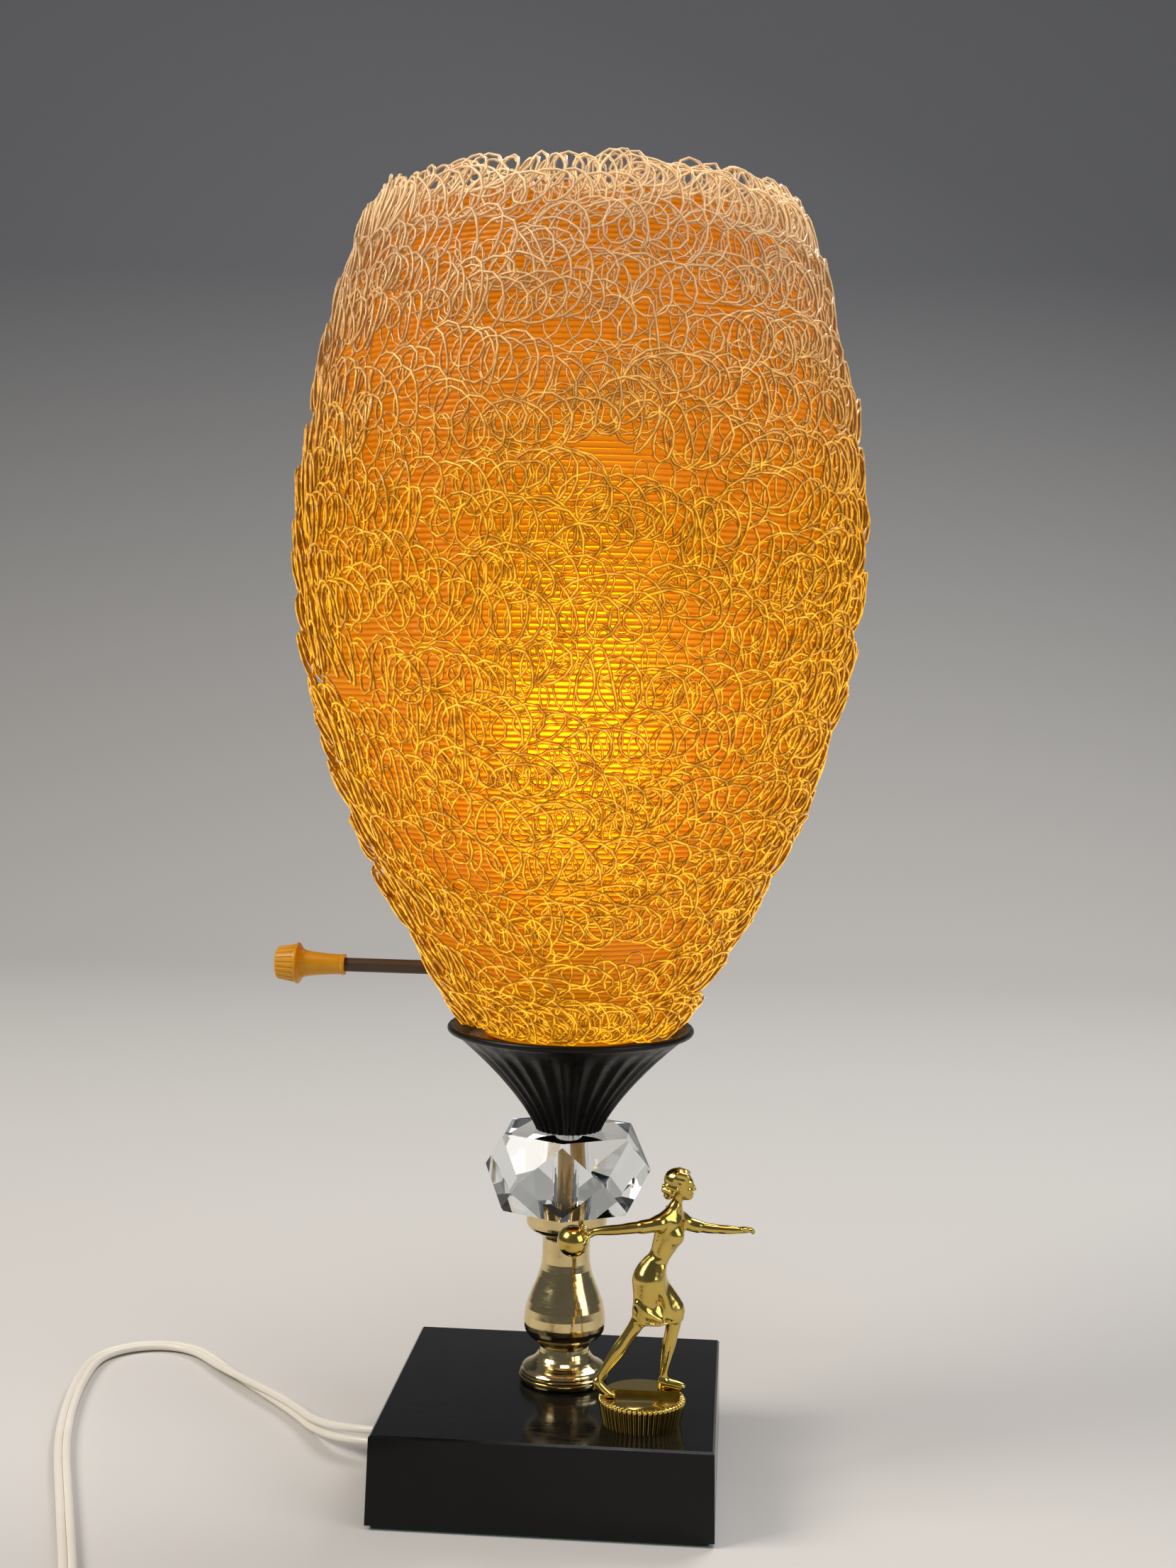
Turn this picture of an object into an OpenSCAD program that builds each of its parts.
// Table lamp with a barrel shade of spun strand, on a trophy base with a bowler figure.
// Origin: on the lamp axis, on the table. +Z up, the figure's side is -Y. Millimetres.

/* [Base] */
// Width of the square base at its foot
base_w = 127; // [110:1:150]
// Height of the moulded base above its felt
base_h = 33; // [28:0.1:45]
// How far each side leans in over the height
base_draft = 0.8; // [0.2:0.1:2]
// Bevel along the top edges
base_bevel = 0.8; // [0.4:0.1:2]
// Thickness of the base's side walls
base_wall = 3.5; // [2.5:0.1:5]
// Thickness of the base's top wall
base_top_t = 5; // [4:0.5:7]
// How far the base's centre is left of the lamp axis
base_left = 2.2; // [0:0.1:6]
// How far the base's centre is in front of the lamp axis
base_front = 6.5; // [0:0.1:8]
// Thickness of the felt pad
felt_t = 1.5; // [1:0.1:3]
// Margin of the felt inside the base's foot
felt_margin = 2; // [1:0.5:5]
// Thickness of the bottom cover
cover_t = 2.5; // [2:0.1:3.5]
// Diameter of the cover screws
cover_screw_d = 2.4; // [2:0.1:3]
// Radius of the ballast disc
ballast_r = 36; // [20:1:44]
// Thickness of the ballast disc
ballast_t = 8; // [4:0.5:9]

/* [Column] */
// Outer diameter of the threaded pipe
pipe_d = 9.6; // [9:0.1:10.4]
// Bore of the threaded pipe
pipe_bore = 7; // [6.4:0.1:7.4]
// Height of the ringed foot
foot_h = 13.8; // [11:0.1:18]
// Radius of the ringed foot
foot_r = 17.4; // [14:0.1:20]
// Radius of the neck between foot and vase
neck_r = 9.6; // [7.5:0.1:10]
// Height of the vase
vase_h = 42.7; // [35:0.1:55]
// Radius of the vase's belly
vase_r = 16; // [13:0.1:19]
// Radius of the vase's top
vase_top_r = 9.3; // [7.5:0.1:11]
// Height of the flared seat under the crystal
seat_h = 13; // [10:0.1:16]
// Radius of the flared seat
seat_r = 15.8; // [13:0.1:19]
// Height of the crystal
crystal_h = 30; // [24:0.5:36]
// Radius of the crystal's belt
crystal_r = 32.4; // [28:0.1:36]
// Radius of the crystal's end faces
crystal_end_r = 27.2; // [24:0.1:27.5]

/* [Cup] */
// Height of the fluted cup
cup_h = 41; // [36:0.5:48]
// Radius of the cup's foot
cup_foot_r = 12.8; // [11:0.1:15]
// Radius of the cup's rolled lip
cup_rim_r = 48; // [46:0.1:52]
// Number of flutes
flute_n = 24; // [12:1:24]
// Depth of the flutes
flute_depth = 0.9; // [0.3:0.1:1.2]
// Cup wall, measured across
cup_wall = 2.6; // [2.4:0.1:3.2]

/* [Shade] */
// Height of the spun layer
shade_h = 314; // [290:1:340]
// Gap of the spun layer's foot above the cup's rim
shade_lift = 1; // [0.8:0.1:3]
// Outer radius of the shade at its foot
shade_foot_r = 45; // [42:0.5:46]
// Outer radius of the shade at its belly
belly_r = 110.5; // [100:0.5:120]
// Height of the belly above the shade's foot
belly_h = 184; // [165:1:200]
// Outer radius of the open top
mouth_r = 82; // [70:0.5:92]
// How far the clear layer stands above the amber liner
liner_drop = 8; // [4:0.5:14]
// Thickness of the amber liner
liner_t = 1.2; // [1:0.1:1.6]
// Thickness of the fused inner layer of clear strand
shell_t = 3.8; // [3:0.1:4.2]
// Diameter of the looping strand
strand_d = 1.3; // [1.1:0.1:1.5]
// Rows of loops up the shade
row_n = 8; // [7:1:8]
// Loops in each row
loop_n = 12; // [10:1:12]
// Half width of a loop, as an angle round the shade
loop_swing = 14.5; // [13:0.5:16]

/* [Socket and switch] */
// Outer diameter of the socket shell
socket_d = 32.6; // [31.5:0.1:34]
// Height of the socket shell
socket_shell_h = 40; // [38:0.5:42]
// Height of the switch key above the socket's foot
key_h = 21.1; // [20:0.1:22]
// Radius of the switch rotor
rotor_r = 5; // [4:0.1:5.2]
// Diameter of the key shaft
key_d = 4; // [3:0.1:4.4]
// Diameter of the extension rod
rod_d = 5.4; // [5:0.1:6.5]
// Distance of the knob's tip from the lamp axis
knob_reach = 116.7; // [105:0.1:130]
// Length of the knob
knob_l = 27.4; // [24:0.1:34]
// Radius of the knob's flange
knob_flange_r = 8.1; // [7.5:0.1:10]
// Number of ribs on the knob's grip
knob_ribs = 22; // [12:1:26]

/* [Bulb] */
// Diameter of the bulb
bulb_d = 60; // [50:1:65]
// Length of the bulb from tip to top
bulb_l = 106; // [98:1:116]
// Outer diameter of the bulb's screw base
bulb_base_d = 26.2; // [25.6:0.1:26.4]

/* [Bowler figure] */
// Figure's centre in from the base's right edge
figure_in_x = 28.5; // [22:0.1:36]
// Figure's centre in from the base's front edge
figure_in_y = 27.8; // [22:0.1:34]
// Radius of the puck's beaded top edge
puck_r = 16.3; // [15:0.1:18]
// Radius of the puck's foot
puck_foot_r = 14.5; // [13:0.1:15]
// Height of the puck
puck_h = 9.6; // [8:0.1:12]
// Number of ribs round the puck
puck_ribs = 50; // [24:1:54]
// Height of the figure above the puck, on which all of its limbs depend
figure_h = 87; // [70:1:100]
// Diameter of the figure's stud
stud_d = 4.8; // [4:0.1:5.5]

/* [Cord] */
// Diameter of the round tube that has the flat cord's cross-section
cord_d = 4; // [3.6:0.1:4.2]
// Width of the flat two-wire cord
cord_w = 6.4; // [6:0.1:7]
// Step from one turn of the coil to the next
coil_step = 4.6; // [4.5:0.1:5.2]
// Radius of the coil's innermost turn
coil_in_r = 30; // [28:0.5:34]

/* [Hidden] */
$fn = 48;
fit = 0.05;
gap = 0.3;
cut = 1;
nut_h = 4;
nut_r = 8.4;
washer_t = 1.5;
washer_r = 11;
pipe_spare = 1;
column_bore = pipe_d / 2 + gap;
cavity_w = base_w - 2 * (base_wall + base_draft);
screw_inset = 7;
screw_bite = 9;
figure_x = base_w / 2 - base_left - figure_in_x;
figure_front = base_w / 2 + base_front - figure_in_y;
bushing_r = cord_w / 2 + 2.1;

// Levels up the lamp
z_top = felt_t + base_h;
z_vase = z_top + foot_h;
z_seat = z_vase + vase_h;
z_crystal = z_seat + seat_h;
z_cup = z_crystal + crystal_h;
z_rim = z_cup + cup_h;
z_cavity = z_top - base_top_t;
z_washer = z_cavity - ballast_t - washer_t;
z_base_nut = z_washer - nut_h;
z_pipe = z_base_nut - pipe_spare;

// Cup: a cubic curve from the foot to the lip
cup_floor_t = 3;
cup_curve = [
    [cup_foot_r, 0], [cup_foot_r + 4.7, 11], [cup_rim_r - 17, cup_h - 15], [cup_rim_r - 2.5, cup_h - 3]];
lip_t = 2.2;

// Fitter: a disc that seats in the cup's flare
fitter_t = 1.2;
fitter_drop = 5.7;
fitter_flange_h = 6;
z_fitter = z_rim - fitter_drop;
cup_zr = [for (p = bez_pts(cup_curve, 40)) [p[1], p[0]]];
cup_at_fitter = lookup(z_fitter - z_cup, cup_zr);
fitter_r = cup_at_fitter - cup_wall - gap;

// Socket stack
z_socket = z_fitter + fitter_t + nut_h;
z_key = z_socket + key_h;
cap_neck_r = 7;
cap_h = key_h - key_d / 2 - gap;
cap_wall = 0.8;
socket_r = socket_d / 2;
socket_wall = 0.7;
shell_foot = 15.6;
body_foot = 13.5;
body_h = 18;
body_r = socket_r - 2 * socket_wall - 2 * fit - 0.3;
slot_w = 9;
z_screw = z_socket + body_foot + body_h;
screw_wall = 0.6;
contact_h = 1.8;
z_bulb = z_screw + contact_h + gap;
pipe_top = z_socket + 7;
rotor_l = 13;
key_out = 24;
key_grip = 5;
rod_in = key_out - key_grip;
knob_hold = 10;
knob_neck = knob_reach - knob_l;
bulb_r = bulb_d / 2;
bulb_base_r = bulb_base_d / 2;
bulb_tip_h = 1.2;
bulb_cone_h = 3;
bulb_base_h = 20;
thread_pitch = 3.63;
glass_t = 0.8;
stem_foot = bulb_tip_h + bulb_cone_h + 0.5;
stem_flare_h = 0.13 * bulb_l;
stem_h = 0.39 * bulb_l;
support_l = 0.25 * bulb_l;
support_x = 1.2;
support_lean = 26;

// Shade: two cubic curves that meet at the belly
z_shade = z_rim + shade_lift;
z_mouth = z_shade + shade_h;
z_belly = z_shade + belly_h;
low_curve = [
    [shade_foot_r, z_shade], [shade_foot_r + 28, z_shade + 45], [belly_r, z_belly - 80], [belly_r, z_belly]];
high_curve = [[belly_r, z_belly], [belly_r, z_belly + 52], [mouth_r + 12, z_mouth - 28], [mouth_r, z_mouth]];
outline_steps = 24;
outline = concat(
    bez_pts(low_curve, outline_steps), [for (i = [1:outline_steps]) bez(high_curve, i / outline_steps)]);
outline_rz = [for (p = outline) [p[1], p[0]]];
foot_slope = 28 / 45;
strand_swing = 1.1;
strand_bed = 0.4;
strand_deep = 2 * strand_swing + strand_d;
shell_out = strand_deep + strand_bed;
liner_out = shell_out + shell_t + 0.2;
z_shell_belly = z_shade + 0.274 * shade_h;
z_shell_upper = z_shade + 0.68 * shade_h;
z_liner = z_fitter + fitter_t;
z_liner_top = z_mouth - liner_drop;
rod_hole_r = rod_d / 2 + 2.3;

// Loops of strand: one winding that climbs the shade row by row
outline_len = [for (i = 0, s = 0; i < len(outline);
    s = s + (i + 1 < len(outline) ? norm(outline[i + 1] - outline[i]) : 0), i = i + 1) [s, i]];
outline_long = outline_len[len(outline) - 1][0];
z_of_len = [for (q = outline_len) [q[0], outline[q[1]][1]]];
row_gap = 3;
row_step = outline_long / (row_n + 1);
loop_half_h = (row_step - row_gap) / 2;
row_low = loop_half_h + strand_d / 2;
loop_rings = 7;
strand_sides = 5;
// The rod passes through the middle of a loop of the lowest row
key_len = lookup(z_key, [for (q = outline_len) [outline[q[1]][1], q[0]]]);
rod_loop = round(loop_n * (key_len + 0.3 * loop_half_h - row_low) / row_step - 0.5);
strand_start = 180 - 360 * (rod_loop + 0.5) / loop_n;
strand_n = row_n * loop_n * loop_rings;
strand_path = [for (i = [0:strand_n]) strand_point(i / loop_rings)];
strand_normals = [for (i = [0:strand_n]) strand_normal(i / loop_rings)];

// Cord route, chosen by hand on the table, and the coil put away in front
cord_exit_y = -base_front;
cord_exit_z = 10;
base_side_x = -base_left - base_w / 2 + base_draft * (cord_exit_z - felt_t) / base_h;
cord_route = [
    [base_side_x, cord_exit_y, cord_exit_z], [-71, -6.5, 10], [-77.5, -5.6, 9.8], [-84, -3, 9],
    [-90, 1.3, 7.8], [-95, 6.9, 6.4], [-101, 15.8, 4.4], [-108.5, 27.6, 2.7], [-118, 40.4, 2], [-130, 53.4, 2],
    [-144, 69.2, 2], [-158, 86, 2], [-165.5, 95.4, 2], [-173, 104, 2], [-181.3, 109.5, 2], [-191, 111.4, 2],
    [-200.7, 109.5, 2], [-209, 104, 2], [-214.5, 95.7, 2], [-216.4, 86, 2], [-216, 75.5, 2],
    [-214.8, 64, 2], [-212.9, 51, 2], [-209.8, 35, 2], [-205.4, 16, 2], [-199, -7, 2], [-192, -28, 2],
    [-184, -50, 2], [-176, -72, 2], [-168, -94, 2], [-160, -116, 2], [-153, -138, 2.2],
    [-149.5, -158, 2.8], [-148.2, -176, 3.6], [-148.2, -193, 3.9]];
cord_steps = 2;
cord_sides = 8;
coil_x = -106;
coil_y = -198;
coil_z = 3.9;
coil_layer = 6.8;
coil_turns = 5.25;
coil_turn_back = 2.6;
coil_rings = 24;
coil_sides = 6;
coil_n = coil_turns * coil_rings;
coil_run = cord_d + 1;
coil_path = concat(
    [coil_point(0) + [0, coil_run, 0]],
    [for (i = [0:coil_n]) coil_point(i / coil_rings)],
    [coil_point(coil_turns) + [coil_run, 0, 0]]);
tail_start = coil_path[len(coil_path) - 1];
plug_l = 26;
plug_w = 21;
plug_t = 11;
tail_l = 42;
plug_at = [tail_start[0] + tail_l, tail_start[1], plug_t / 2];
tail_route = [
    tail_start, tail_start + [6, 0, -0.2], tail_start + [14, 0, -1.2], tail_start + [22, 0, -2.8],
    tail_start + [30, 0, -4.2], [plug_at[0] - 4, plug_at[1], plug_at[2]], plug_at];
tie_t = 0.6;
tie_w = 4;
tie_in = coil_radius(2.5) - cord_d / 2 - gap - tie_t;
tie_out = coil_radius(0.5) + cord_d / 2 + gap + tie_t;
tie_h = coil_z + coil_layer + cord_w / 2 + gap + tie_t;

// Leads from the bushing up the pipe to the terminal screws
lead_d = 2.6;
lead_sides = 6;
lead_apart = 1.6;
terminal_y = 7;
screw_head_h = 1.6;
z_terminal = z_socket + body_foot - screw_head_h - lead_d / 2 - fit;

// Curves and vectors
function bez(p, t) = let (s = 1 - t)
    p[0] * s * s * s + 3 * p[1] * s * s * t + 3 * p[2] * s * t * t + p[3] * t * t * t;
function bez_pts(p, n) = [for (i = [0:n]) bez(p, i / n)];
function unit(v) = v / norm(v);
function within(x) = min(max(x, 0), 1);
function ease(x) = within(x) * within(x) * (3 - 2 * within(x));
function backwards(p) = [for (i = [len(p) - 1:-1:0]) p[i]];

// A smooth line through points, n steps between each two
function smooth_line(p, n) = concat([for (i = [0:len(p) - 2], k = [0:n - 1])
    let (a = p[max(i - 1, 0)], b = p[i], c = p[i + 1], d = p[min(i + 2, len(p) - 1)], t = k / n)
    b + t * (c - a) / 2 + t * t * (2 * a - 5 * b + 4 * c - d) / 2 + t * t * t * (3 * b - a - 3 * c + d) / 2],
    [p[len(p) - 1]]);

// Shade outline by height, its lean, and the radius of a layer at a depth under it
function outline_r(z) = z < z_shade ? shade_foot_r - foot_slope * (z_shade - z) : lookup(z, outline_rz);
function outline_lean(z) = (outline_r(z + 1) - outline_r(z - 1)) / 2;
function layer_r(z, deep) = outline_r(z) - deep * sqrt(1 + pow(outline_lean(min(z, z_mouth - 1)), 2));
function layer_pts(z0, z1, deep) = [for (i = [0:28]) let (z = z0 + (z1 - z0) * i / 28) [layer_r(z, deep), z]];

// Looping strand: a flattened helix laid on the outline
function strand_len(t) = row_low + row_step * t / loop_n + loop_half_h * cos(360 * t);
function strand_z(t) = lookup(within(strand_len(t) / outline_long) * outline_long, z_of_len);
function strand_turn(t) = strand_start + 360 * t / loop_n + loop_swing * sin(360 * t);
function strand_normal(t) = let (m = outline_lean(min(strand_z(t), z_mouth - 1)), a = strand_turn(t))
    [cos(a), sin(a), -m] / sqrt(1 + m * m);
function strand_point(t) = let (z = strand_z(t), a = strand_turn(t), r = outline_r(z))
    [r * cos(a), r * sin(a), z] - strand_normal(t) * (strand_deep / 2 + strand_swing * sin(360 * t));

// Coil: spirals in, climbs a layer where it turns back, and spirals out again
function coil_radius(u) = coil_in_r + sqrt(pow(coil_step * (u - coil_turn_back), 2) + 0.04);
function coil_point(u) = let (a = 180 + 360 * u, r = coil_radius(u))
    [coil_x + r * cos(a), coil_y + r * sin(a), coil_z + coil_layer * ease((u - coil_turn_back) * 2 + 0.5)];

// Least distance between two straight pieces, and between a tube's turns
function piece_gap(a, b, c, d) = let (u = b - a, v = d - c, w = a - c, uu = u * u, vv = v * v, uv = u * v,
    wide = uu * vv - uv * uv, s = wide > 0 ? within((uv * (v * w) - vv * (u * w)) / wide) : 0,
    t = within((uv * s + v * w) / vv), s2 = within((uv * t - u * w) / uu)) norm(w + u * s2 - v * t);
function self_gap(p, d, skip, reach) = min([for (i = [0:len(p) - 2], j = [i + skip:min(i + reach, len(p) - 2)])
    piece_gap(p[i], p[i + 1], p[j], p[j + 1])]) - d;
function line_gap(p, a, b, d) = min([for (i = [0:len(p) - 2]) piece_gap(p[i], p[i + 1], a, b)]) - d;

// Tube of flat-sided rings along a path, each ring square to the path
module tube(path, d, sides, refs) {
    last = len(path) - 1;
    rings = [for (i = [0:last])
        let (t = unit(path[min(i + 1, last)] - path[max(i - 1, 0)]),
            side = unit(cross(t, refs[i])), up = cross(side, t))
        for (k = [0:sides - 1]) path[i] + d / 2 * (cos(360 * k / sides) * side + sin(360 * k / sides) * up)];
    walls = [for (i = [0:last - 1], k = [0:sides - 1])
        let (a = i * sides + k, b = i * sides + (k + 1) % sides)
        each [[a, a + sides, b], [b, a + sides, b + sides]]];
    end = last * sides;
    ends = [for (k = [1:sides - 2]) each [[0, k, k + 1], [end, end + k + 1, end + k]]];
    polyhedron(rings, concat(walls, ends), convexity = 10);
}

module ring(r_out, r_in, h) {
    difference() {
        cylinder(r = r_out, h = h);
        translate([0, 0, -cut])
            cylinder(r = r_in, h = h + 2 * cut);
    }
}

module hex_nut(r, bore_r, h) {
    difference() {
        cylinder(r = r, h = h, $fn = 6);
        translate([0, 0, -cut])
            cylinder(r = bore_r, h = h + 2 * cut);
    }
}

module at_base_centre(z) {
    translate([-base_left, -base_front, z])
        children();
}

module at_cover_screws() {
    reach = cavity_w / 2 - screw_inset;
    for (x = [-reach, reach], y = [-reach, reach])
        translate([x, y, 0])
            children();
}

module at_figure(z) {
    translate([figure_x, -figure_front, z])
        children();
}

// Turned so that the child's Z runs out along -X from the lamp axis at the key
module along_key(x) {
    translate([-x, 0, z_key])
        rotate([0, -90, 0])
            children();
}

module felt_pad() {
    side = base_w - 2 * felt_margin;
    color("DarkGreen")
        at_base_centre(0)
            translate([-side / 2, -side / 2, 0])
                cube([side, side, felt_t]);
}

module base_block() {
    half = base_w / 2;
    lean = base_draft * (base_h - base_bevel) / base_h;
    face = [[-half, 0], [half, 0], [half - lean, base_h - base_bevel], [half - lean - base_bevel, base_h],
        [-half + lean + base_bevel, base_h], [-half + lean, base_h - base_bevel]];
    color("#0c0c0d")
        difference() {
            at_base_centre(felt_t)
                difference() {
                    intersection() {
                        rotate([90, 0, 0])
                            linear_extrude(2 * base_w, center = true)
                                polygon(face);
                        rotate([90, 0, 90])
                            linear_extrude(2 * base_w, center = true)
                                polygon(face);
                    }
                    difference() {
                        translate([-cavity_w / 2, -cavity_w / 2, -cut])
                            cube([cavity_w, cavity_w, base_h - base_top_t + cut]);
                        at_cover_screws()
                            translate([0, 0, cover_t])
                                cylinder(r = cover_screw_d / 2 + 3, h = base_h);
                    }
                    at_cover_screws()
                        cylinder(d = cover_screw_d, h = base_h - base_top_t);
                }
            cylinder(d = pipe_d + 2 * fit, h = z_top + cut);
            at_figure(0)
                cylinder(d = stud_d + 2 * fit, h = z_top + cut);
            translate([-base_left - base_w, cord_exit_y, cord_exit_z])
                rotate([0, 90, 0])
                    cylinder(r = bushing_r + fit, h = base_w);
        }
}

module bottom_cover() {
    side = cavity_w - 2 * gap;
    color("SaddleBrown")
        at_base_centre(felt_t)
            difference() {
                translate([-side / 2, -side / 2, 0])
                    cube([side, side, cover_t]);
                at_cover_screws()
                    cover_screw(fit);
            }
}

module cover_screw(extra) {
    cylinder(d1 = 2 * cover_screw_d + 2 * extra, d2 = cover_screw_d + 2 * extra, h = cover_screw_d / 2 + extra);
    cylinder(d = cover_screw_d + 2 * extra - 2 * fit, h = cover_t + screw_bite);
}

module cover_screws() {
    color("Silver")
        at_base_centre(felt_t)
            at_cover_screws()
                cover_screw(0);
}

module ballast_disc() {
    color("DimGray")
        translate([0, 0, z_cavity - ballast_t])
            ring(ballast_r, pipe_d / 2 + gap, ballast_t);
}

module pipe_washer() {
    color("Silver")
        translate([0, 0, z_washer])
            ring(washer_r, pipe_d / 2 + gap, washer_t);
}

// Three nuts: under the base, on the cup's floor and on the shade's fitter
module pipe_nuts() {
    color("Goldenrod")
        for (z = [z_base_nut, z_cup + cup_floor_t, z_fitter + fitter_t])
            translate([0, 0, z])
                hex_nut(nut_r, pipe_d / 2 + fit, nut_h);
}

module lamp_pipe() {
    color("DarkGoldenrod")
        translate([0, 0, z_pipe])
            ring(pipe_d / 2, pipe_bore / 2, pipe_top - z_pipe);
}

module cord_bushing() {
    flange_t = 1.2;
    color("Ivory")
        translate([base_side_x, cord_exit_y, cord_exit_z])
            rotate([0, -90, 0])
                difference() {
                    union() {
                        translate([0, 0, -base_wall - base_draft - 2])
                            cylinder(r = bushing_r, h = base_wall + base_draft + 2 + flange_t);
                        translate([0, 0, 0.2])
                            cylinder(r1 = bushing_r + 1.6, r2 = bushing_r + 0.8, h = flange_t + 0.6);
                    }
                    translate([0, 0, -base_w / 2])
                        cylinder(r = cord_w / 2 + 0.2, h = base_w);
                }
}

module inner_leads() {
    inside = base_side_x + base_wall + base_draft + 2;
    for (s = [-1, 1]) {
        route = [
            [base_side_x, cord_exit_y + s * lead_apart, cord_exit_z],
            [inside, cord_exit_y + s * lead_apart, cord_exit_z],
            [inside + 14, cord_exit_y + s * lead_apart, cord_exit_z - 2.5],
            [-26, s * lead_apart - 1, z_pipe - 4.6], [-10, s * lead_apart, z_pipe - 4.4],
            [-4, s * lead_apart, z_pipe - 3.4], [-0.9, s * lead_apart, z_pipe - 0.4],
            [0, s * lead_apart, z_pipe + 4], [0, s * lead_apart, z_cup], [0, s * lead_apart, pipe_top - 3],
            [0, s * lead_apart, pipe_top], [0, s * (lead_apart + 1.4), z_terminal - 0.7],
            [0, s * terminal_y, z_terminal]];
        path = smooth_line(route, 2);
        color(s > 0 ? "Ivory" : "AntiqueWhite")
            tube(path, lead_d, lead_sides, [for (p = path) [0.3, 1, 0]]);
    }
}

module turned(points, bore_r) {
    low = points[0][1];
    high = points[len(points) - 1][1];
    rotate_extrude()
        polygon(concat([[bore_r, low]], points, [[bore_r, high]]));
}

module column_foot() {
    groove = 0.5;
    band = foot_h * 0.2;
    curve = bez_pts([[foot_r - 0.9, band + 2.4], [foot_r - 1.4, band + 4.4], [neck_r + 1, band + 4.2],
        [neck_r, foot_h]], 10);
    color("Goldenrod")
        translate([0, 0, z_top])
            turned(concat(
                [[foot_r - 0.9, 0], [foot_r - 0.2, 0.7], [foot_r, 1.5], [foot_r, band - groove],
                    [foot_r - groove, band - groove / 2], [foot_r - 0.3, band], [foot_r - 0.3, band + 0.8],
                    [foot_r - 0.3 - groove, band + 1.1], [foot_r - 0.6, band + 1.4], [foot_r - 0.6, band + 2]],
                curve), column_bore);
}

module column_vase() {
    belly_z = vase_h * 0.2;
    color("Goldenrod")
        translate([0, 0, z_vase])
            turned(concat([[neck_r, 0]],
                bez_pts([[neck_r + 0.5, 1.2], [neck_r + 1.6, 3], [vase_r, 3.4], [vase_r, belly_z + 1]], 9),
                bez_pts([[vase_r, belly_z + 1.4], [vase_r, belly_z + 12], [vase_top_r, belly_z + 17],
                    [vase_top_r, vase_h * 0.86]], 10),
                [[vase_top_r, vase_h]]), column_bore);
}

module crystal_seat() {
    color("Goldenrod")
        translate([0, 0, z_seat])
            turned(concat([[vase_top_r, 0]],
                bez_pts([[vase_top_r + 0.2, 0.6], [vase_top_r + 1.5, 3], [seat_r - 0.6, 2.6],
                    [seat_r, 6.6]], 8),
                [[seat_r, seat_h - 2.4], [seat_r - 0.7, seat_h - 1.7], [seat_r - 0.7, seat_h]]), column_bore);
}

// Six-sided cut: flats at the front, slanted facets between them above and below the belt
module crystal() {
    flat_end = crystal_end_r;
    flat_belt = crystal_r / cos(30);
    color("Azure", 0.5)
        translate([0, 0, z_crystal])
            difference() {
                intersection() {
                    cylinder(r = crystal_r, h = crystal_h, $fn = 6);
                    rotate([0, 0, 30])
                        union() {
                            cylinder(r1 = flat_end, r2 = flat_belt, h = crystal_h / 2, $fn = 6);
                            translate([0, 0, crystal_h / 2])
                                cylinder(r1 = flat_belt, r2 = flat_end, h = crystal_h / 2, $fn = 6);
                        }
                }
                translate([0, 0, -cut])
                    cylinder(d = pipe_d + 2 * gap, h = crystal_h + 2 * cut);
            }
}

// Trumpet with flutes that fade out under a smooth rolled lip
module fluted_cup() {
    per_flute = 4;
    n = flute_n * per_flute;
    outer_n = 10;
    inner_n = 6;
    lip_z = cup_h - lip_t / 2;
    outer = [for (i = [0:outer_n])
        let (p = bez(cup_curve, i / outer_n)) [p[0], p[1], 1 - ease(i / outer_n * 3 - 2)]];
    lip = [[cup_rim_r, lip_z, 0], [cup_rim_r - 0.6, cup_h, 0], [cup_rim_r - lip_t, cup_h, 0]];
    inner = [for (i = [inner_n:-1:0])
        let (p = bez(cup_curve, i / inner_n)) [p[0] - cup_wall, max(p[1], cup_floor_t + 2 * i / inner_n), 0]];
    profile = concat(outer, lip, inner);
    rings = len(profile);
    points = concat(
        [for (q = profile, k = [0:n - 1])
            let (a = 360 * k / n, r = q[0] - flute_depth * q[2] * pow(cos(180 * k / per_flute), 2))
            [r * cos(a), r * sin(a), q[1]]],
        [[0, 0, 0], [0, 0, cup_floor_t]]);
    walls = [for (i = [0:rings - 2], k = [0:n - 1])
        let (a = i * n + k, b = i * n + (k + 1) % n) each [[a, a + n, b], [b, a + n, b + n]]];
    ends = [for (k = [0:n - 1]) let (j = (k + 1) % n)
        each [[rings * n, k, j], [rings * n + 1, (rings - 1) * n + j, (rings - 1) * n + k]]];
    color("#17140f")
        translate([0, 0, z_cup])
            difference() {
                polyhedron(points, concat(walls, ends), convexity = 8);
                translate([0, 0, -cut])
                    cylinder(d = pipe_d + 2 * gap, h = cup_floor_t + 2 * cut);
            }
}

module shade_fitter() {
    flange_r = layer_r(z_liner, liner_out + liner_t) - gap;
    vents = 6;
    color("Goldenrod")
        translate([0, 0, z_fitter])
            difference() {
                union() {
                    cylinder(r = fitter_r, h = fitter_t);
                    ring(flange_r, flange_r - fitter_t, fitter_t + fitter_flange_h);
                }
                translate([0, 0, -cut])
                    cylinder(d = pipe_d + 2 * gap, h = fitter_t + 2 * cut);
                for (k = [0:vents - 1])
                    rotate([0, 0, 360 * (k + 0.5) / vents])
                        translate([flange_r * 0.68, 0, -cut])
                            cylinder(r = 5, h = fitter_t + 2 * cut);
            }
}

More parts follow.
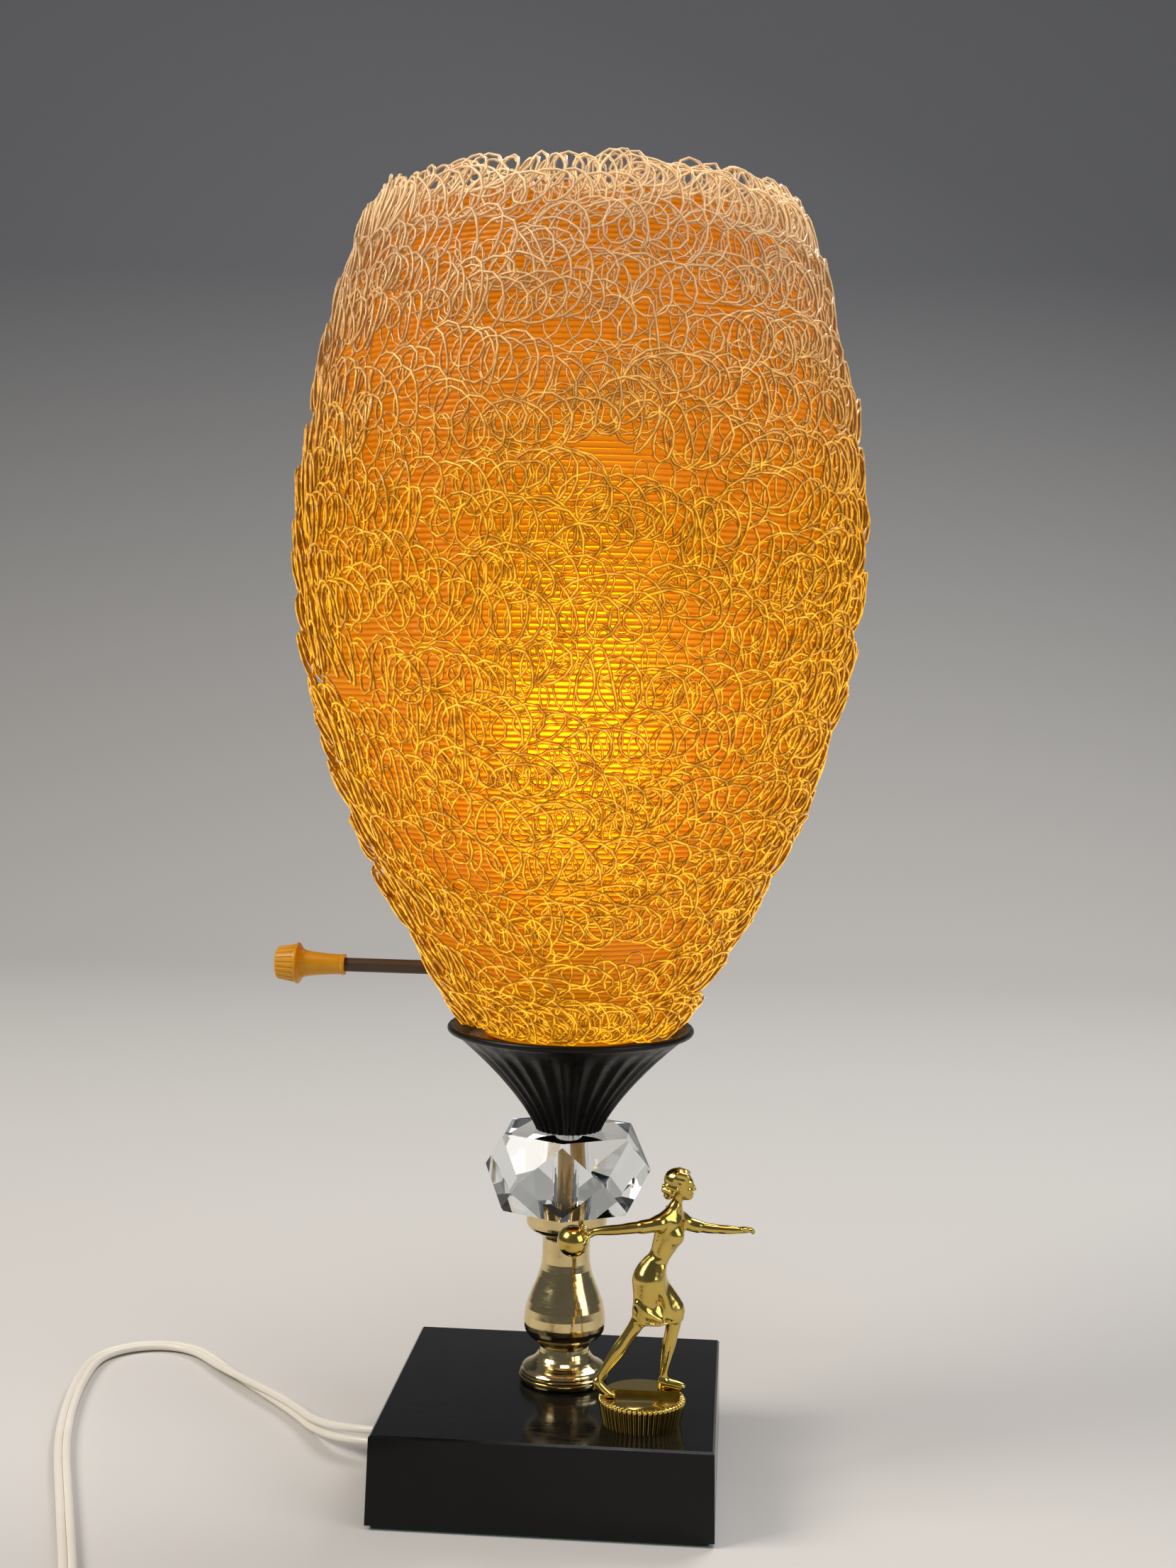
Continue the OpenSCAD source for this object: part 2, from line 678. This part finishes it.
module socket_cap() {
    out = socket_r + fit + cap_wall;
    color("Goldenrod")
        translate([0, 0, z_socket])
            rotate_extrude()
                polygon([[pipe_d / 2 + fit, 0], [cap_neck_r, 0], [cap_neck_r, 6], [cap_neck_r + 4, 8],
                    [out - 2, 11.5], [out, shell_foot - fit], [out, cap_h], [out - cap_wall, cap_h],
                    [out - cap_wall, shell_foot],
                    [out - 2.8, 12.3], [cap_neck_r + 3.4, 9], [cap_neck_r - 1, 7.2], [pipe_d / 2 + fit, 7.2]]);
}

module key_slot(z_foot) {
    translate([-socket_r - cut, -slot_w / 2, z_foot - cut])
        cube([socket_r, slot_w, z_key - z_foot + slot_w / 2 + cut]);
}

module socket_shell() {
    z = z_socket + shell_foot + fit;
    color("Gold")
        difference() {
            translate([0, 0, z])
                ring(socket_r, socket_r - socket_wall, socket_shell_h);
            key_slot(z);
        }
}

module socket_liner() {
    z = z_socket + shell_foot + fit;
    color("Tan")
        difference() {
            translate([0, 0, z])
                ring(socket_r - socket_wall - fit, socket_r - 2 * socket_wall - fit, socket_shell_h - 1);
            key_slot(z);
        }
}

module contact_pocket(extra) {
    for (s = [-1, 1])
        translate([-4 - extra, s * (rotor_r + 0.9 + extra / 2) - 0.7 - extra, z_key - 3 - extra])
            cube([8 + 2 * extra, 1.4 + 2 * extra, 6 + 2 * extra]);
}

module socket_body() {
    color("#2b1a12")
        difference() {
            translate([0, 0, z_socket + body_foot])
                cylinder(r = body_r, h = body_h);
            along_key(-rotor_l / 2 - gap)
                cylinder(r = rotor_r + fit, h = socket_d);
            contact_pocket(fit);
            for (s = [-1, 1])
                translate([0, s * terminal_y, z_socket + body_foot - cut])
                    cylinder(d = 3 + 2 * fit, h = 2.4 + cut);
        }
}

module screw_shell() {
    inner_r = bulb_base_r + 0.2;
    color("Gold")
        translate([0, 0, z_screw + fit])
            difference() {
                cylinder(r = inner_r + screw_wall, h = 22);
                translate([0, 0, screw_wall])
                    cylinder(r = inner_r, h = 22);
                translate([0, 0, -cut])
                    cylinder(r = 5, h = 2 * cut + screw_wall);
            }
}

module centre_contact() {
    color("Goldenrod")
        translate([0, 0, z_screw])
            cylinder(r1 = 4, r2 = 2.6, h = contact_h);
}

module terminal_screws() {
    color("Goldenrod")
        for (s = [-1, 1])
            translate([0, s * terminal_y, z_socket + body_foot]) {
                translate([0, 0, -screw_head_h])
                    cylinder(d = 5.2, h = screw_head_h);
                translate([0, 0, -fit])
                    cylinder(d = 3, h = 2.2);
            }
}

// Plate that closes the rotor's chamber and carries the key
module key_bushing() {
    color("Goldenrod")
        along_key(rotor_l / 2 + gap)
            ring(rotor_r, key_d / 2 + fit, 4);
}

module switch_contacts() {
    color("Goldenrod")
        contact_pocket(0);
}

module switch_rotor() {
    color("#3a2a20")
        along_key(-rotor_l / 2)
            difference() {
                cylinder(r = rotor_r, h = rotor_l);
                translate([0, 0, rotor_l - 6])
                    cylinder(d = key_d + 2 * fit, h = 6 + cut);
            }
}

module key_shaft() {
    start = rotor_l / 2 - 5.8;
    color("Goldenrod")
        along_key(start)
            cylinder(d = key_d, h = key_out - start);
}

module extension_rod() {
    color("#3b2416")
        along_key(rod_in)
            difference() {
                cylinder(d = rod_d, h = knob_neck + knob_hold - rod_in);
                translate([0, 0, -cut])
                    cylinder(d = key_d + 2 * fit, h = key_grip + 0.2 + cut);
            }
}

// Slim neck with a lipped end, round flange and a ribbed grip that narrows outwards
module knob() {
    lip_r = rod_d / 2 + 1.4;
    neck_l = knob_l * 0.58;
    face_l = knob_l * 0.67;
    grip_from = face_l + 0.9;
    grip_l = knob_l - grip_from;
    grip_r = knob_flange_r - 0.5;
    tip_r = grip_r * 0.83;
    lean = atan((grip_r - tip_r) / grip_l);
    color("Orange")
        along_key(knob_neck)
            difference() {
                rotate_extrude()
                    polygon(concat([[0, 0], [lip_r, 0], [lip_r, 1.2], [lip_r - 0.3, 1.6]],
                        bez_pts([[lip_r - 0.2, 2], [lip_r + 0.1, neck_l * 0.6], [lip_r + 0.7, neck_l * 0.9],
                            [lip_r + 1.2, neck_l]], 6),
                        bez_pts([[lip_r + 1.4, neck_l + 0.4], [lip_r + 1.8, face_l - 1],
                            [lip_r + 2.6, face_l - 0.9], [knob_flange_r - 0.3, face_l - 0.2]], 5),
                        [[knob_flange_r, face_l + 0.2], [knob_flange_r, face_l + 0.7], [grip_r, grip_from],
                            [tip_r, knob_l - 0.9], [tip_r - 0.9, knob_l - 0.2], [tip_r - 2, knob_l],
                            [0, knob_l]]));
                translate([0, 0, -cut])
                    cylinder(d = rod_d + 2 * fit, h = knob_hold + 0.2 + cut);
                for (k = [0:knob_ribs - 1])
                    rotate([0, 0, 360 * k / knob_ribs])
                        translate([grip_r + 0.1, 0, grip_from + 0.4])
                            rotate([0, -lean, 0])
                                cylinder(r = 0.64, h = grip_l + 1, $fn = 16);
            }
}

function bulb_outline(inset) = let (r = bulb_r - inset, neck = bulb_base_r - 0.9 - inset, top = bulb_l - inset,
    centre = bulb_l - bulb_r)
    concat([[neck, bulb_tip_h + bulb_cone_h + bulb_base_h - 3], [neck, 30]],
        bez_pts([[neck, 31], [neck + 0.5, 47], [r, 51], [r, centre]], 12),
        [for (i = [1:9]) [r * cos(10 * i), centre + (top - centre) * sin(10 * i)]]);

module bulb_glass() {
    color("White", 0.8)
        translate([0, 0, z_bulb])
            rotate_extrude()
                polygon(concat(bulb_outline(0), backwards(bulb_outline(glass_t))));
}

module bulb_base() {
    foot = bulb_tip_h + bulb_cone_h;
    wall = 0.5;
    crests = 5;
    inner = bulb_base_r - 0.9 + fit;
    wave = [for (i = [0:crests * 6]) let (z = 0.8 + i / 6 * thread_pitch)
        [bulb_base_r - 0.17 + 0.17 * cos(60 * i), foot + z]];
    color("Silver")
        translate([0, 0, z_bulb])
            rotate_extrude()
                polygon(concat([[inner - 1.2, foot], [bulb_base_r - 0.3, foot]], wave,
                    [[inner + wall, foot + bulb_base_h], [inner, foot + bulb_base_h], [inner, foot + wall],
                        [inner - 1.2, foot + wall]]));
}

module bulb_insulator() {
    color("#111111")
        translate([0, 0, z_bulb + bulb_tip_h])
            cylinder(r1 = 5, r2 = bulb_base_r - 1.6, h = bulb_cone_h);
}

module bulb_tip() {
    color("Silver")
        translate([0, 0, z_bulb])
            cylinder(r1 = 3.4, r2 = 4.6, h = bulb_tip_h);
}

module bulb_stem() {
    rod_r = 4.5;
    color("White", 0.6)
        translate([0, 0, z_bulb + stem_foot]) {
            cylinder(r1 = bulb_base_r - 2.4, r2 = rod_r, h = stem_flare_h);
            translate([0, 0, stem_flare_h - cut])
                cylinder(r1 = rod_r, r2 = 2, h = stem_h - stem_flare_h + cut);
            for (s = [-1, 1])
                translate([s * support_x, 0, stem_h - cut])
                    rotate([0, s * support_lean, 0])
                        cylinder(r = 0.4, h = support_l + cut);
        }
}

module filament() {
    coil_r = 0.35;
    reach = support_l + cut;
    color("Gray")
        translate([0, 0, z_bulb + stem_foot + stem_h - cut + reach * cos(support_lean) + coil_r + 0.25])
            rotate([0, 90, 0])
                cylinder(r = coil_r, h = 2 * (support_x + reach * sin(support_lean)), center = true);
}

// Barrel layer between two depths under the outline, with the rod's hole
module barrel(z0, z1, deep, thick) {
    difference() {
        rotate_extrude()
            polygon(concat(layer_pts(z0, z1, deep), backwards(layer_pts(z0, z1, deep + thick))));
        along_key(socket_r)
            cylinder(r = rod_hole_r, h = belly_r);
    }
}

module amber_liner() {
    color("Orange")
        barrel(z_liner, z_liner_top, liner_out, liner_t);
}

// Fused inner layer of clear strand, in three bands that stand on each other
module shell_lower() {
    color("Moccasin", 0.5)
        barrel(z_shade, z_shell_belly, shell_out, shell_t);
}

module shell_belly() {
    color("Moccasin", 0.5)
        barrel(z_shell_belly, z_shell_upper, shell_out, shell_t);
}

module shell_upper() {
    color("Moccasin", 0.5)
        barrel(z_shell_upper, z_mouth - strand_d, shell_out, shell_t);
}

module spun_strand() {
    echo(strand_gap = self_gap(strand_path, strand_d, 3, loop_n * loop_rings + 12),
        strand_to_rod = line_gap(strand_path, [-socket_r, 0, z_key], [-knob_reach, 0, z_key],
            (strand_d + rod_d) / 2));
    color("Bisque", 0.7)
        tube(strand_path, strand_d, strand_sides, strand_normals);
}

module figure_puck() {
    step_h = 1.5;
    rib_r = 0.62;
    lean = atan((puck_r - puck_foot_r) / puck_h);
    color("Goldenrod")
        at_figure(z_top)
            difference() {
                union() {
                    cylinder(r1 = puck_foot_r, r2 = puck_r, h = puck_h - 0.6);
                    translate([0, 0, puck_h - 0.6])
                        cylinder(r1 = puck_r, r2 = puck_r - 0.6, h = 0.6);
                    intersection() {
                        cylinder(r = puck_r - 0.8, h = puck_h + step_h);
                        translate([-puck_r, 2, 0])
                            cube([2 * puck_r, puck_r, puck_h + step_h]);
                    }
                }
                for (k = [0:puck_ribs - 1])
                    rotate([0, 0, 360 * k / puck_ribs])
                        translate([puck_foot_r + 0.2, 0, -cut])
                            rotate([0, lean, 0])
                                cylinder(r = rib_r, h = puck_h + 2, $fn = 16);
                translate([0, 0, -cut])
                    cylinder(d = stud_d + 2 * fit, h = puck_h - 1.6 + cut);
            }
}

// One limb or fold of the figure: a skin over two balls
module limb(a, ra, b, rb) {
    hull() {
        translate(a)
            sphere(r = ra, $fn = 16);
        translate(b)
            sphere(r = rb, $fn = 16);
    }
}

// Chain of limbs through [x, y, z, radius] stations
module chain(q) {
    for (i = [0:len(q) - 2])
        limb([q[i][0], q[i][1], q[i][2]], q[i][3], [q[i + 1][0], q[i + 1][1], q[i + 1][2]], q[i + 1][3]);
}

// Bowler in a knee-length dress, swinging the ball back; drawn 87 high above the puck
module bowler_figure() {
    drawn_h = 87;
    color("Goldenrod")
        at_figure(z_top + puck_h)
            difference() {
                scale(figure_h / drawn_h) {
                    // head, hair and neck
                    chain([[12.6, 0.4, 81.6, 4.8], [13.6, 0.4, 77.6, 3.7]]);
                    chain([[10.2, 0.4, 82.6, 4.4], [8.2, 0.4, 78, 3.2], [6.8, 0.4, 75.8, 1.9]]);
                    chain([[11.2, 0.3, 76, 2.2], [9.6, 0.1, 69, 2.6]]);
                    // shoulders, chest, waist and hips
                    chain([[5.6, -4.4, 66.6, 2.7], [12.8, 4, 66.8, 2.7]]);
                    chain([[6.2, -2.2, 63.4, 4.4], [9.2, 2.2, 61.4, 4.4], [4.4, 0.4, 53.6, 3.7]]);
                    chain([[4.4, 0.4, 53.6, 3.7], [0.8, -0.6, 45.8, 6], [1.6, 0.8, 38, 6.2]]);
                    // skirt over both thighs
                    chain([[2.4, 2, 43, 5.4], [10.6, 2.6, 32.6, 4.2], [6.4, 2.4, 29.6, 3.8]]);
                    chain([[1, -0.6, 44, 5.8], [0.4, -1.6, 32.6, 4.2]]);
                    chain([[0.4, -1.6, 32.4, 4.2], [7.6, 2, 31.2, 4.2]]);
                    // rear leg and shoe
                    chain([[-0.8, -2, 30, 3], [-8, -3, 19.4, 2.7], [-15.6, -3.2, 8, 1.5],
                        [-15.2, -3.2, 4.4, 1.5]]);
                    chain([[-15.2, -3.2, 4.4, 1.5], [-12.6, -3.2, 1.2, 1.2]]);
                    // front leg and shoe
                    chain([[9.6, 3.8, 31, 3], [9.2, 4.8, 19.6, 2.6], [8, 5.6, 8, 1.5], [7.6, 5.6, 3.8, 1.6]]);
                    chain([[7.2, 5.6, 2.9, 1.5], [14.4, 5.6, 2.6, 1.2]]);
                    // ball arm
                    chain([[5.4, -5, 66.4, 2.6], [-2.4, -6.4, 65, 2.1], [-18, -6.2, 63, 1.7],
                        [-22, -6, 61.4, 1.8]]);
                    translate([-26.3, -6, 59.1])
                        sphere(r = 5.9, $fn = 28);
                    // forward arm and hand
                    chain([[12.8, 4.4, 66.6, 2.5], [22.8, 4.8, 64.8, 2], [34, 4.8, 63.4, 1.4],
                        [38.6, 4.8, 62.8, 1.3]]);
                }
                translate([-puck_r, -puck_r, -5])
                    cube([2 * puck_r, puck_r + 2 - fit, 5 + fit]);
                translate([-puck_r, 2 - 2 * fit, -5])
                    cube([2.4 * puck_r, puck_r, 6.5 + fit]);
            }
}

module figure_stud() {
    foot = z_cavity - washer_t - nut_h - 2;
    color("Silver")
        at_figure(foot)
            cylinder(d = stud_d, h = z_top + puck_h - 1.8 - foot);
}

module figure_washer() {
    color("Silver")
        at_figure(z_cavity - washer_t)
            ring(stud_d + 1.2, stud_d / 2 + fit, washer_t);
}

module figure_nut() {
    color("Silver")
        at_figure(z_cavity - washer_t - nut_h)
            hex_nut(stud_d, stud_d / 2 + fit, nut_h);
}

module cord_lead() {
    path = smooth_line(cord_route, cord_steps);
    color("Ivory")
        tube(path, cord_d, cord_sides, [for (p = path) [0, 0, 1]]);
}

module cord_coil() {
    echo(coil_gap = self_gap(coil_path, cord_d, 6, 2 * coil_n));
    color("Ivory")
        tube(coil_path, cord_d, coil_sides, [for (p = coil_path) [0, 0, 1]]);
}

module cord_tail() {
    path = smooth_line(tail_route, cord_steps);
    color("Ivory")
        tube(path, cord_d, cord_sides, [for (p = path) [0, 0, 1]]);
}

module cord_tie() {
    color("White")
        translate([coil_x, coil_y - tie_w / 2, 0])
            difference() {
                translate([tie_in, 0, 0])
                    cube([tie_out - tie_in, tie_w, tie_h]);
                translate([tie_in + tie_t, -cut, tie_t])
                    cube([tie_out - tie_in - 2 * tie_t, tie_w + 2 * cut, tie_h - 2 * tie_t]);
            }
}

module plug_body() {
    shoulder = 10;
    color("Ivory")
        translate(plug_at)
            hull() {
                rotate([0, 90, 0])
                    cylinder(d = cord_d + 3, h = 1, $fn = 32);
                translate([shoulder, -plug_w / 2, -plug_t / 2])
                    cube([plug_l - shoulder, plug_w, plug_t]);
            }
}

module plug_blades() {
    color("Gold")
        for (s = [-1, 1])
            translate([plug_at[0] + plug_l, plug_at[1] + s * 6.35 - 0.75, plug_at[2] - 3.2])
                cube([16, 1.5, 6.4]);
}

felt_pad();
base_block();
bottom_cover();
cover_screws();
ballast_disc();
pipe_washer();
pipe_nuts();
lamp_pipe();
cord_bushing();
inner_leads();
column_foot();
column_vase();
crystal_seat();
crystal();
fluted_cup();
shade_fitter();
socket_cap();
socket_shell();
socket_liner();
socket_body();
screw_shell();
centre_contact();
terminal_screws();
key_bushing();
switch_contacts();
switch_rotor();
key_shaft();
extension_rod();
knob();
bulb_glass();
bulb_base();
bulb_insulator();
bulb_tip();
bulb_stem();
filament();
amber_liner();
shell_lower();
shell_belly();
shell_upper();
spun_strand();
figure_puck();
bowler_figure();
figure_stud();
figure_washer();
figure_nut();
cord_lead();
cord_coil();
cord_tail();
cord_tie();
plug_body();
plug_blades();
